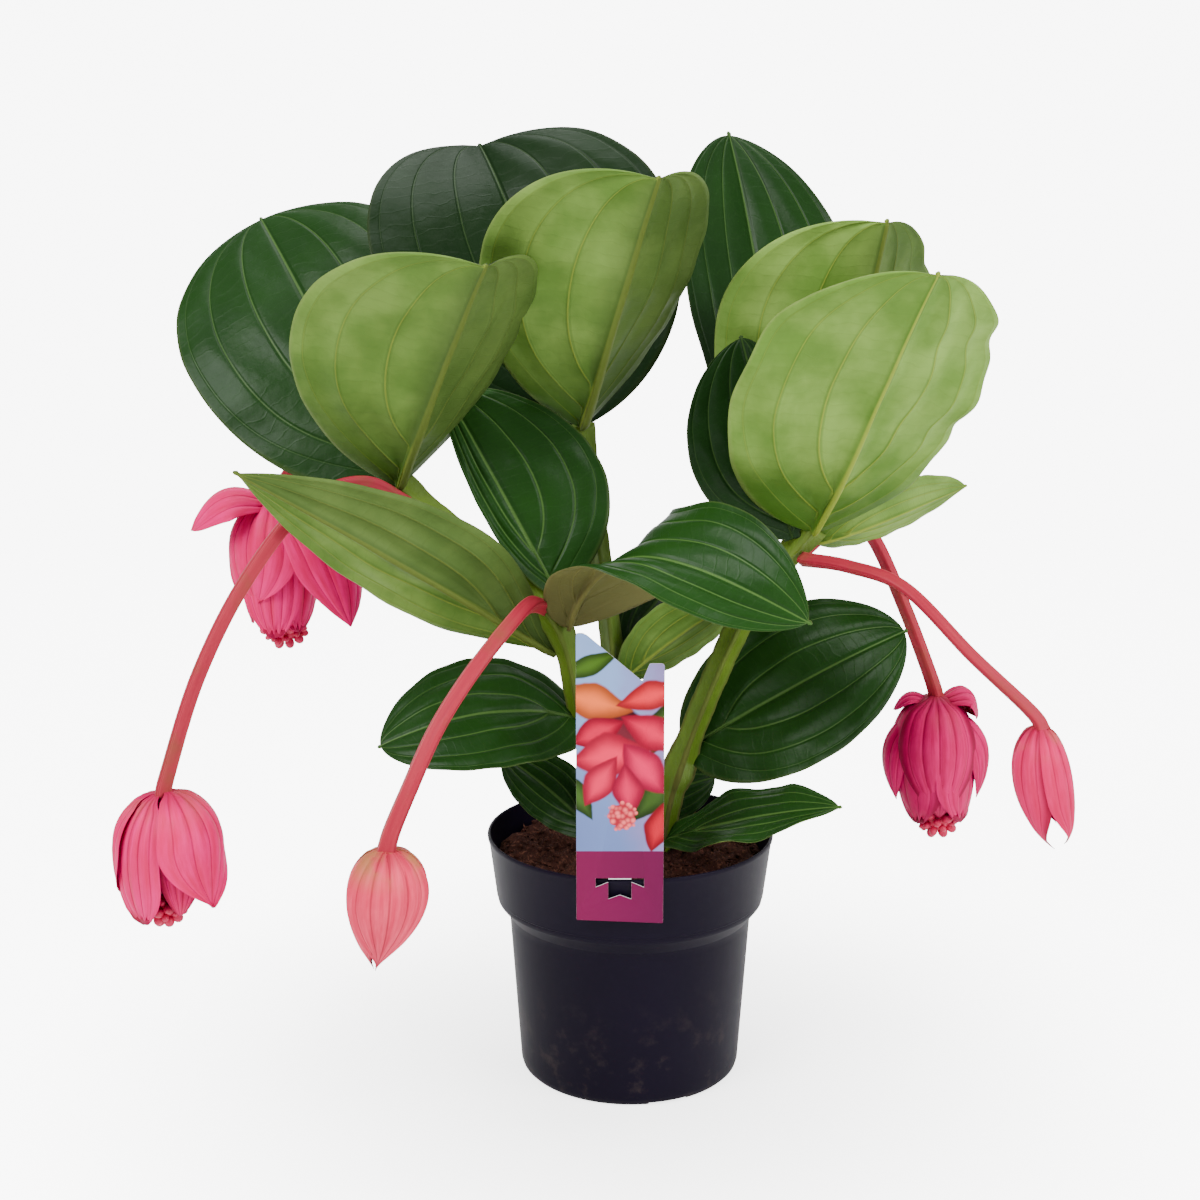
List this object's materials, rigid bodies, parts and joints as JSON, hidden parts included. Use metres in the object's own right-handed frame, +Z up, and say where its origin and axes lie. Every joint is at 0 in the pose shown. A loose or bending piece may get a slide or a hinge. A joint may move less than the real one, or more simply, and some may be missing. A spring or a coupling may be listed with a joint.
{
  "type": "potted medinilla",
  "caption": "Flowering houseplant in a dark round nursery pot: broad veined leaves on woody stems, pink hanging blooms on arched stalks, and a tall card label at the front.",
  "frame": {"origin": "centre of the pot's foot, on the surface it stands on", "axes": "+Z up, -Y towards the front of the plant, where the card label is, +X to the right seen from the front"},
  "size_m": [0.5229, 0.3018, 0.5565],
  "materials": {
    "pot": "satin",
    "peat": "matte",
    "label": "satin",
    "stem": "satin",
    "leaf_dark": "satin",
    "leaf_pale": "satin",
    "stalk": "satin",
    "bract": "matte",
    "berry": "satin"
  },
  "bodies": {
    "root": {"pot": "pot", "soil": "peat", "plant_label": "label", "stem_right": "stem", "stem_centre": "stem", "stem_left": "stem", "leaf_back_left": "leaf_dark", "leaf_front_left": "leaf_pale", "leaf_back_centre": "leaf_dark", "leaf_front_centre": "leaf_pale", "leaf_back_right": "leaf_dark", "leaf_right": "leaf_pale", "leaf_front_right": "leaf_pale", "leaf_right_dark": "leaf_dark", "leaf_centre_dark": "leaf_dark", "leaf_left_long": "leaf_pale", "leaf_curled": "leaf_dark", "leaf_lower_left": "leaf_dark", "leaf_lower_right": "leaf_dark", "leaf_low_right": "leaf_dark", "leaf_low_left": "leaf_dark", "leaf_low_back": "leaf_dark", "leaf_inner_pale": "leaf_pale", "leaf_inner_dark": "leaf_dark", "leaf_right_tip": "leaf_pale", "stalk_1": "stalk", "stalk_2": "stalk", "stalk_3": "stalk", "stalk_4": "stalk", "stalk_5": "stalk", "bloom_1": "bract", "bloom_1_berries": "berry", "bloom_2": "bract", "bloom_2_berries": "berry", "bloom_4": "bract", "bloom_4_berries": "berry", "bud_3": "bract", "bud_5": "bract"}
  },
  "joints": []
}
